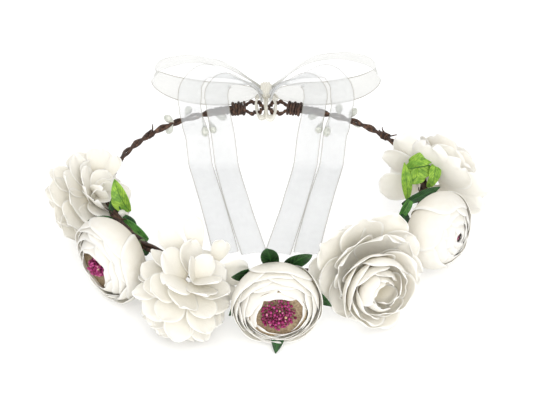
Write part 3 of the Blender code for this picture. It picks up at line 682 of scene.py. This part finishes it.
def tube_mesh(name, points, radius, finish, sides=8, taper=None, rough=0.0):
    """A round tube along the points, with its thickness varied like wrapped paper."""
    sheet = Sheet()
    rows = []
    across = points[1] - points[0]
    across = across.normalized().orthogonal().normalized()
    for index, point in enumerate(points):
        along = (points[min(index + 1, len(points) - 1)] - points[max(index - 1, 0)]).normalized()
        across = (across - along * across.dot(along)).normalized()
        other = along.cross(across)
        own = radius * (taper[index] if taper else 1.0)
        row = []
        for k in range(sides):
            way = heading(math.tau * k / sides)
            wobble = 1 + rough * noise.noise(point * 700 + way * 0.7)
            place = point + (across * way.x + other * way.y) * own * wobble
            row.append((place, (index / len(points), 0.0, 0.5)))
        rows.append(row)
    sheet.grid(rows, wrap=True)
    last = (len(rows) - 1) * sides
    sheet.faces.append(tuple(reversed(range(sides))))
    sheet.faces.append(tuple(range(last, last + sides)))
    return sheet.mesh(name, finish)


def coil(start, end, phase, radius_at, pitch, origin, per_turn=16):
    """Points that wind round the ring's line from one angle to another."""
    steps = max(4, round(abs(end - start) * RING_RADIUS / pitch * per_turn))
    points = []
    for step in range(steps + 1):
        angle = start + (end - start) * step / steps
        turn = phase + math.tau * abs(angle - origin) * RING_RADIUS / pitch
        radius = radius_at(angle)
        points.append(band(angle, radius * math.cos(turn), radius * math.sin(turn)))
    return points


def eye_base(side):
    """The ring angle where an end eye's wire starts to open."""
    return side * (math.pi - (EYE_LENGTH + EYE_GAP) / RING_RADIUS)


def smooth_step(value):
    value = min(1.0, max(0.0, value))
    return value * value * (3 - 2 * value)


def make_vine():
    left = angle_of(joint_point("left_arm_flex"))
    right = angle_of(joint_point("right_arm_flex"))
    for index in range(3):
        points = coil(left, right, math.tau * index / 3, lambda angle: 1.45 * MM, 42 * MM, left, per_turn=22)
        piece = tube_mesh(f"front_vine_bark_{index + 1}", points, 1.22 * MM, BARK, rough=0.35)
        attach(piece, "front_band")
        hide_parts(f"front_vine_{index + 1}")
    for side, name, hinge in ((-1, "left", left), (1, "right", right)):
        base = eye_base(side)
        begin = hinge - side * 7 * MM / RING_RADIUS

        def radius_at(angle):
            share = smooth_step(1 - (abs(base - angle) * RING_RADIUS - 26 * MM) / (12 * MM))
            return (1.05 + 0.42 * share) * MM

        for index, phase in enumerate((math.pi / 2, -math.pi / 2)):
            points = coil(base, begin, phase, radius_at, 24 * MM, base)
            piece = tube_mesh(f"{name}_arm_bark_{index + 1}", points, 1.15 * MM, BARK, rough=0.4)
            node = f"{name}_arm_vine_{index + 1}"
            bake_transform(piece)
            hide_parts(node)
        legs = [coil(base, base - side * 26 * MM / RING_RADIUS, phase, radius_at, 24 * MM, base)
                for phase in (0.0, math.pi)]
        length = EYE_LENGTH - EYE_WIRE
        half = EYE_HALF_WIDTH - EYE_WIRE
        first = math.asin(1.47 * MM / half)
        eye = []
        for step in range(1, 28):
            turn = first + (math.tau - 2 * first) * step / 28
            out = half * math.sin(turn)
            eye.append(band(base + side * length * (1 - math.cos(turn)) / 2 / RING_RADIUS,
                            out * math.cos(EYE_TILT), out * math.sin(EYE_TILT)))
        line = [*reversed(legs[0]), *eye, *legs[1]]
        piece = tube_mesh(f"{name}_eye_bark", line, 0.95 * MM, BARK, rough=0.4)
        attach(piece, f"{name}_arm")
        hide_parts(f"{name}_end_eye")


def wrap(name, body, angle, width, radius, wire_radius, turns):
    """A close coil of vine round the bundle, centred on an angle."""
    half = width / 2 / RING_RADIUS
    points = []
    for step in range(turns * 12 + 1):
        share = step / (turns * 12)
        own = radius * (1 + 0.12 * math.sin(share * 17))
        points.append(band(angle + half * (2 * share - 1), own * math.cos(math.tau * turns * share),
                           own * math.sin(math.tau * turns * share)))
    piece = tube_mesh(name, points, wire_radius, BARK, sides=6, rough=0.4)
    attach(piece, body)


def twigs(name, body, angle, ends):
    """Cut stubs of vine that stand off the band."""
    for index, (along, out, up) in enumerate(ends):
        way = (tangent_at(angle) * along + outward_at(angle) * out + UP * up) * MM
        side = way.cross(UP).normalized() * 0.8 * MM
        points = [band(angle) + way * share + side * math.sin(share * 5 + index)
                  for share in (0, 0.3, 0.6, 0.85, 1)]
        piece = tube_mesh(f"{name}_{index + 1}", points, 0.6 * MM, BARK, sides=6,
                          taper=(1.2, 1, 0.9, 0.75, 0.5), rough=0.5)
        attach(piece, body)


def doubled_eye(name, side, base):
    """A second strand wound round the wire of an end eye."""
    points = []
    for step in range(97):
        share = step / 96
        turn = math.tau * (0.04 + 0.92 * share)
        wound = math.tau * 6.5 * share
        reach = (EYE_LENGTH - EYE_WIRE) * (1 - math.cos(turn)) / 2
        reach += 0.9 * MM * math.sin(wound) * math.sin(turn / 2)
        half = (EYE_HALF_WIDTH - EYE_WIRE + 1.1 * MM * math.sin(wound)) * math.sin(turn)
        over = 1.5 * MM * math.cos(wound)
        points.append(band(base + side * reach / RING_RADIUS,
                           half * math.cos(EYE_TILT) - over * math.sin(EYE_TILT),
                           half * math.sin(EYE_TILT) + over * math.cos(EYE_TILT)))
    piece = tube_mesh(f"{name}_eye_strand", points, 0.85 * MM, BARK, sides=8, rough=0.4)
    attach(piece, f"{name}_arm")


def make_stems():
    for joint in JOINTS:
        if joint.endswith("_tilt"):
            name = joint.removesuffix("_tilt")
            foot = joint_point(joint)
            angle = angle_of(foot)
            reach = outward_at(angle)
            points = [foot + reach * share * MM for share in (-2.2, -0.8, 0.8, 2.4, 4.0)]
            piece = tube_mesh(f"{name}_stem_tape", points, 2.1 * MM, TAPE, sides=12, rough=0.25)
            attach(piece, name)
            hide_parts(f"{name}_stem")


def make_trimmings():
    for side, name in SIDES:
        base = eye_base(side)
        wrap(f"{name}_eye_wrap", f"{name}_arm", base - side * 4 * MM / RING_RADIUS, 9 * MM, 3.8 * MM,
             0.95 * MM, 5)
        wrap(f"{name}_leg_wrap", f"{name}_arm", base - side * 15 * MM / RING_RADIUS, 9 * MM, 2.4 * MM,
             0.55 * MM, 7)
        doubled_eye(name, side, base)
    wrap("right_arm_knot", "right_arm", math.radians(127), 5 * MM, 2.1 * MM, 0.6 * MM, 3)
    twigs("right_arm_twig", "right_arm", math.radians(127), ((-7, 3, 3), (6, 3, 3), (-5, -4, 1), (3, -3, 4)))
    wrap("left_arm_knot", "left_arm", math.radians(-129), 4 * MM, 2.0 * MM, 0.5 * MM, 3)
    twigs("left_arm_twig", "left_arm", math.radians(-129), ((-6, 2, 4), (5, -3, 2)))
    twigs("left_band_twig", "front_band", math.radians(-66), ((-8, 4, 5), (7, -3, 3)))
    twigs("right_band_twig", "front_band", math.radians(79), ((-7, -3, 3), (6, -3, 5)))


# Leaves and pips.

def leaf(sheet, foot, tip, across, width, fold=0.35, arch=0.14):
    """A pointed leaf, folded up along its midrib and arched along its length."""
    along = tip - foot
    up = along.normalized().cross(across).normalized()
    if up.z < 0:
        up = -up
    across = along.normalized().cross(up)
    rows = []
    for line in range(15):
        t = line / 14
        half = width / 2 * max(0.03, math.sin(math.pi * min(1, 0.05 + 0.95 * t)) ** 0.8)
        middle = foot + along * t + up * along.length * arch * math.sin(math.pi * t)
        row = []
        for s in spread(8):
            wave = 0.25 * MM * math.sin(9 * t + 4 * s)
            point = middle + across * half * s + up * (fold * half * abs(s) + wave * abs(s))
            row.append((point, (t, abs(s), 0.5)))
        rows.append(row)
    sheet.grid(rows)


def leaf_piece(name, blades, finish, body, *nodes):
    sheet = Sheet()
    for foot, tip, across, width in blades:
        leaf(sheet, foot, tip, across, width)
    piece = sheet.mesh(name, finish, LEAF_CLOTH)
    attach(piece, body)
    if nodes:
        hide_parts(*nodes)


def blade(foot, tip, width, tilt=0.0):
    """A leaf between two points of the ring's own frame, in millimetres, turned outwards by tilt."""
    start = ring_point(foot)
    end = ring_point(tip)
    across = (end - start).cross(Vector((0, -0.85, 0.53)) + outward_at(angle_of(start)) * tilt)
    return start, end, across, width * MM


def make_leaves():
    leaf_piece("left_upper_leaf_fabric", [
        blade((-77, -31, 1), (-85.5, -23, 17.5), 9.5, 0.4), blade((-82, -32, 2), (-86, -26, 10), 6)],
        BRIGHT_LEAF, "front_band", "left_upper_leaf")
    leaf_piece("left_middle_leaf_fabric", [blade((-66, -45, -9), (-84, -33, -2), 8.5, 0.2)],
                    MIDDLE_LEAF, "front_band")
    leaf_piece("left_lower_leaf_fabric", [
        blade((-84, -31, -3), (-87, -28, 8), 7),
        blade((-74, -40, -8), (-80, -34, 1), 8), blade((-66, -52, -14), (-76, -44, -7), 9)],
        DARK_LEAF, "front_band", "left_lower_leaf")
    bud = Sheet()
    teardrop(bud, ring_point((-79, -34, -2)), ring_point((-82.5, -33, 3)), PIP_RADIUS, 6 * MM)
    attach(bud.mesh("left_band_bud", PETAL), "front_band")
    leaf_piece("left_tucked_leaf_fabric", [blade((-83, -36, -4), (-100, -39, 0), 8)],
                    DARK_LEAF, "left_back_bloom")
    leaf_piece("right_leaf_bunch_fabric", [
        blade((81.5, -15, -2), (79.5, -4, 17), 6), blade((80, -5, 13), (99.5, -3, 16), 13, 0.3),
        blade((98, -4, 19), (95, -13, 6), 7), blade((82.5, -12, 8), (91, -5, 13), 9),
        blade((82, -4, 18), (98, -4, 20.5), 8, -0.3), blade((93, -10, 4), (98.5, -6, 12), 5)],
        BRIGHT_LEAF, "front_band", "right_leaf_bunch")
    leaf_piece("right_middle_leaf_fabric", [blade((84, -19, 4), (75, -27, -9), 5)],
                    MIDDLE_LEAF, "front_band")
    leaf_piece("right_lower_leaf_fabric", [
        blade((77.5, -22, 0), (100, -12, 5.5), 5.5), blade((79, -24, -3), (78.5, -34, -13), 6),
        blade((96, -3, 10), (103, -3, 14), 6)],
        DARK_LEAF, "front_band", "right_lower_leaf")
    place = facing(FRONT + outward_at(angle_of(FRONT)) * 6 * MM, direction(3, -4))
    sheet = Sheet()
    for turn in (99, 57, -14, -92, 148, 205):
        way = heading(math.radians(turn))
        reach = {148: 27.5, 205: 27.5, 99: 33, 57: 33}.get(turn, 30)
        leaf(sheet, way * 6 * MM, way * reach * MM + UP * 13 * MM, way.cross(UP), 9.5 * MM,
             fold=0.12, arch=-0.09)
    back = place.inverted()
    start, end, across, width = blade((7, -107, -22), (5, -123, -28), 7.5)
    leaf(sheet, back @ start, back @ end, back.to_3x3() @ across, width)
    piece = sheet.mesh("front_leaf_collar_fabric", DARK_LEAF, LEAF_CLOTH, place)
    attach(piece, "front_ranunculus")
    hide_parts("front_leaf_collar")


def teardrop(sheet, foot, tip, radius, length):
    """A fine stalk and the coated pip at its end."""
    along = (tip - foot).normalized()
    across = along.orthogonal().normalized()
    other = along.cross(across)
    reach = (tip - foot).length
    stations = [(0.0, STALK_RADIUS), (max(0.05, 1 - length / reach), STALK_RADIUS)]
    for share in (0.06, 0.16, 0.30, 0.46, 0.62, 0.78, 0.90, 0.97, 1.0):
        swell = math.sin(math.pi * share ** 1.7) ** 0.6 if share < 1 else 0.02
        stations.append((1 - length / reach * (1 - share), max(0.12 * MM, radius * swell)))
    sheet.grid([circle(foot + along * reach * place, across, other, own, 10, (place, 0.0, 0.5))
                for place, own in stations], wrap=True)


def make_pips():
    # Each sprig's ring angle from the back, then its tips: along the vine, outwards, up.
    sprigs = {
        ("left", "upper"): (37, ((7, 4, 5), (8, 0, -6), (-13, 5, 4))),
        ("left", "lower"): (25, ((3, -9, -11), (-3, -9, -10), (-14, -3, -5))),
        ("right", "upper"): (33, ((8, 5, 6), (-11, 2, -2), (-4, 6, 6))),
        ("right", "lower"): (25, ((-3, -9, -11), (3, -9, -10), (12, -3, -4))),
    }
    for (name, level), (from_back, tips) in sprigs.items():
        side = 1 if name == "right" else -1
        angle = side * (math.pi - math.radians(from_back))
        sheet = Sheet()
        for along, out, up in tips:
            foot = band(angle + math.copysign(min(abs(along), 9) * MM, along) / RING_RADIUS * 0.6, 0,
                        (1.5 if up > 0 else -1.0) * MM)
            tip = band(angle) + (tangent_at(angle) * along + outward_at(angle) * out + UP * up) * MM
            teardrop(sheet, foot, tip, PIP_RADIUS, 8.4 * MM)
        piece = sheet.mesh(f"{name}_{level}_pip_sprig", PIP)
        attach(piece, f"{name}_arm")
        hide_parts(f"{name}_{level}_pips")


# Ribbon.

def blend_values(before, start, end, after, t):
    """Values part of the way from start to end, on a curve that passes smoothly through both."""
    return [0.5 * (2 * b + (c - a) * t + (2 * a - 5 * b + 4 * c - d) * t ** 2
                   + (3 * b - a - 3 * c + d) * t ** 3)
            for a, b, c, d in zip(before, start, end, after)]


def ribbon(name, stations, finish, pleats, seed, columns=12):
    """Organza along stations of (point, direction across, width share); returns piece and length."""
    flat = [(*point, *across, share) for point, across, share in stations]
    ends = [flat[0], *flat, flat[-1]]
    per_station = 8
    values = [flat[0]]
    for before, start, end, after in zip(ends, ends[1:], ends[2:], ends[3:]):
        values.extend(blend_values(before, start, end, after, (k + 1) / per_station)
                      for k in range(per_station))
    points = [Vector(value[:3]) for value in values]
    length = 0.0
    sheet = Sheet()
    rows = []
    for index, value in enumerate(values):
        point = points[index]
        if index:
            length += (point - points[index - 1]).length
        along = (points[min(index + 1, len(points) - 1)] - points[max(index - 1, 0)]).normalized()
        across = Vector(value[3:6])
        across = (across - along * across.dot(along)).normalized()
        face = along.cross(across)
        share = min(1.0, max(0.12, value[6]))
        gathered = 1 - share
        row = []
        for s in spread(columns):
            fold = math.sin(s * 9 + seed) * gathered * 1.6 * MM
            fold += pleats * noise.noise(Vector((s * 1.7, length * 60, seed)))
            place = point + across * RIBBON_WIDTH / 2 * share * s + face * fold
            row.append((place, (index / len(values), abs(s), 0.5)))
        rows.append(row)
    sheet.grid(rows)
    return sheet.mesh(name, finish), length


KNOT = RING_CENTRE + Vector((0, RING_RADIUS + 7 * MM, 8.6 * MM))


def mm_stations(side, origin, rows):
    """Ribbon stations from rows of a place in mm, the direction across, and the share of the width."""
    return [(origin + Vector((side * x, y, z)) * MM, Vector((side * a, b, c)), share)
            for x, y, z, a, b, c, share in rows]


def make_bow():
    for side, name in SIDES:
        tall = 1.0 if side < 0 else 1.12
        loop = [
            (3, -1, 0, 0, 1, 0.5, 0.22), (10, -2, -1, 0, 1, 0.9, 0.6), (22, -3, -1, 0, 0.8, 1, 0.95),
            (42, -3, 0, 0, 0.75, 1, 1), (60, -1, 3.5, 0.1, 0.9, 0.8, 1),
            (70, 1, 10 * tall, -0.10, 1, 0.35, 1), (64, 2, 17.5 * tall, -0.1, 1, 0, 1),
            (46, 2, 21 * tall, 0, 1, -0.18, 1),
            (27, 1, 18.5 * tall, 0, 1, -0.25, 1), (12, 0, 9, 0.1, 1, -0.3, 0.7),
            (3, 0, 1.5, 0.1, 1, -0.2, 0.22)]
        # The loops take the darker organza, whose tint is painted shade.
        piece, length = ribbon(f"{name}_bow_loop_organza", mm_stations(side, KNOT, loop), SHADED_BOW_ORGANZA,
                               1.2 * MM, 2 + side)
        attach(piece, "front_band")
        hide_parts(f"{name}_bow_loop")
    knot = Sheet()
    rows = []
    for s in spread(24):
        row = []
        for k in range(32):
            turn = math.tau * k / 32
            pleat = 1 + 0.07 * math.sin(s * 13 + 0.8 * math.sin(turn))
            pleat += 0.05 * noise.noise(Vector((s * 3, turn, 1)))
            waist = (1 - abs(s) ** 4 * 0.30) * pleat
            point = (s * 3.6 * MM, 5.6 * MM * math.cos(turn) * waist, 5.0 * MM * math.sin(turn) * waist)
            row.append((point, (0.5, abs(s) * 0.9, 0.5)))
        rows.append(row)
    knot.grid(rows, wrap=True)
    piece = knot.mesh("ribbon_knot_organza", KNOT_ORGANZA, place=Matrix.Translation(KNOT))
    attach(piece, "front_band")
    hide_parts("ribbon_knot")


def streamer_stations(hinge, order):
    """From the knot over the vine, down to the table at the hinge, and along it: see mm_stations."""
    x = abs(hinge.x - RING_CENTRE.x) / MM
    over = math.sqrt((RING_RADIUS / MM) ** 2 - x ** 2)
    down = (hinge.y - RING_CENTRE.y) / MM
    table = (hinge.z - RING_CENTRE.z) / MM
    knot = (KNOT - RING_CENTRE) / MM
    front = knot.y - 8.6
    crest, lift, sway = (23, -3.5, 0.6) if order == 1 else (29, 1.8, -0.6)
    cross = (over / (RING_RADIUS / MM), -x / (RING_RADIUS / MM))
    slip = 6.0
    rows = [
        (2.5, front + 1.5, knot.z + lift, 0, 1, 0, 0.25),
        (0.22 * x, front - 2, knot.z + 0.36 * crest, 0, 1, -0.3, 0.45),
        (0.50 * x, front - 4, 0.88 * crest, 0, 0.7, -0.7, 0.75),
        (0.80 * x, front - 5, crest, 0, 0.35, -0.95, 0.95),
        (0.97 * x, min(over + 5.5, front - 3), 0.74 * crest, -0.70, 0.30, -0.55, 1),
        (x + 0.5, over + 2.5, 0.45 * crest, -0.95, 0.10, -0.10, 1),
        (x, over, 6.2, -cross[0], -cross[1], 0, 1),
        (x - 0.2 * slip, over - 6, 1.5, -cross[0], -cross[1], 0, 1),
        (x - 0.6 * slip, down + 10, 0.40 * table, -1, 0.15, 0, 1),
        (x - 0.78 * slip, down + 6, 0.68 * table, -1, 0, 0, 1),
        (x - 0.9 * slip, down + 2.8, 0.86 * table, -1, 0, 0, 1),
        (x - 0.97 * slip, down + 0.4, 0.94 * table, -1, 0, 0, 1)]
    for share, rise in ((0.03, 0.7), (0.08, 0.4), (0.18, 0.5), (0.34, 0.7), (0.52, 0.5), (0.76, 0.8),
                        (1, 0.5)):
        reach = TAIL_LENGTH / MM * share
        aside = math.sin(TAIL_LEAN) * reach - sway * math.sin(math.pi * share)
        rows.append((x - slip * (1 - 0.75 * share) - aside, down - math.cos(TAIL_LEAN) * reach,
                     table + rise, -1, -0.30 * share ** 3, 0, 1))
    return rows


def make_arches_and_tails():
    for side, name in SIDES:
        for order, level in ((1, "inner"), (2, "outer")):
            hinge = joint_point(f"{name}_{level}_tail_lift")
            stations = mm_stations(side, RING_CENTRE, streamer_stations(hinge, order))
            piece, whole = ribbon(f"{name}_{level}_streamer_organza", stations, ORGANZA, 0.45 * MM,
                                  order * 3 + side)
            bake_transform(piece)
            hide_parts(f"{name}_{level}_arch", f"{name}_{level}_tail")


def make_ties():
    for side, name in SIDES:
        eye = side * (math.pi - 6.0 * MM / RING_RADIUS)
        centre = band(eye)
        stations = [(KNOT + Vector((side * 1.5, 0.5, -3)) * MM, Vector((0, 1, 0)), 0.30),
                    (centre + Vector((-side * 0.5, 2.6, 4.8)) * MM, Vector((0.2, 1, 0)), 0.50),
                    (centre + Vector((0, 0.3, 0)) * MM, Vector((0, 1, 0)), 0.46),
                    (centre + Vector((-side * 2.5, -3.6, -5.2)) * MM, Vector((0, 1, 0)), 0.50),
                    (centre + Vector((-side * 5.5, -2.2, -3.4)) * MM, Vector((0, 1, 0)), 0.46),
                    (KNOT + Vector((side * 0.6, -1.5, -4.5)) * MM, Vector((0, 1, 0)), 0.3)]
        piece, length = ribbon(f"{name}_tie_organza", stations, KNOT_ORGANZA, 0.3 * MM, 4, columns=24)
        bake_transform(piece)
        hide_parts(f"{name}_tie")


# Stage, light and camera.

def make_stage():
    data = bpy.data.meshes.new("floor")
    shape = bmesh.new()
    bmesh.ops.create_grid(shape, x_segments=2, y_segments=2, size=4.0)
    shape.to_mesh(data)
    shape.free()
    data.materials.append(node_material("white_table", {
        "Base Color": (0.96, 0.96, 0.96, 1.0), "Emission Color": (1.0, 1.0, 1.0, 1.0),
        "Emission Strength": 0.08, "Roughness": 0.9, "Specular IOR Level": 0.1})[0])
    floor = add_object("floor", data)
    floor.location.z = -0.2 * MM


def add_light(name, location, target, size, energy, colour=(1, 1, 1)):
    data = bpy.data.lights.new(name, "AREA")
    data.size = size
    data.energy = energy
    data.color = colour
    light = add_object(name, data)
    light.location = location
    light.rotation_euler = (Vector(target) - Vector(location)).to_track_quat("-Z", "Y").to_euler()


def make_lights():
    world = bpy.data.worlds.new("studio")
    world.use_nodes = True
    background = world.node_tree.nodes["Background"]
    background.inputs["Color"].default_value = (1, 1, 1, 1)
    background.inputs["Strength"].default_value = 0.92
    bpy.context.scene.world = world
    add_light("key", (-0.45, -0.5, 1.3), (0, 0, 0), 1.0, 1.6)
    add_light("front", (0.15, -1.2, 0.7), (0, -0.05, 0.03), 1.1, 13.0)
    add_light("back", (-0.2, 1.2, 0.9), (0, 0.05, 0.03), 1.1, 4.0)
    bpy.context.scene.view_settings.view_transform = "Standard"


def make_camera():
    elevation = math.radians(32)
    distance = 0.9
    data = bpy.data.cameras.new("camera")
    data.sensor_width = 36.0
    data.lens = 103.0
    data.shift_x = 0.0074
    data.shift_y = -0.0343
    camera = add_object("camera", data)
    toward = Vector((0, -math.cos(elevation), math.sin(elevation)))
    camera.location = RING_CENTRE + toward * distance
    camera.rotation_euler = (-toward).to_track_quat("-Z", "Y").to_euler()
    bpy.context.scene.camera = camera


make_camera()
make_vine()
make_stems()
make_trimmings()
make_bow()
make_arches_and_tails()
make_ties()
make_flowers()
make_leaves()
make_pips()
make_stage()
make_lights()
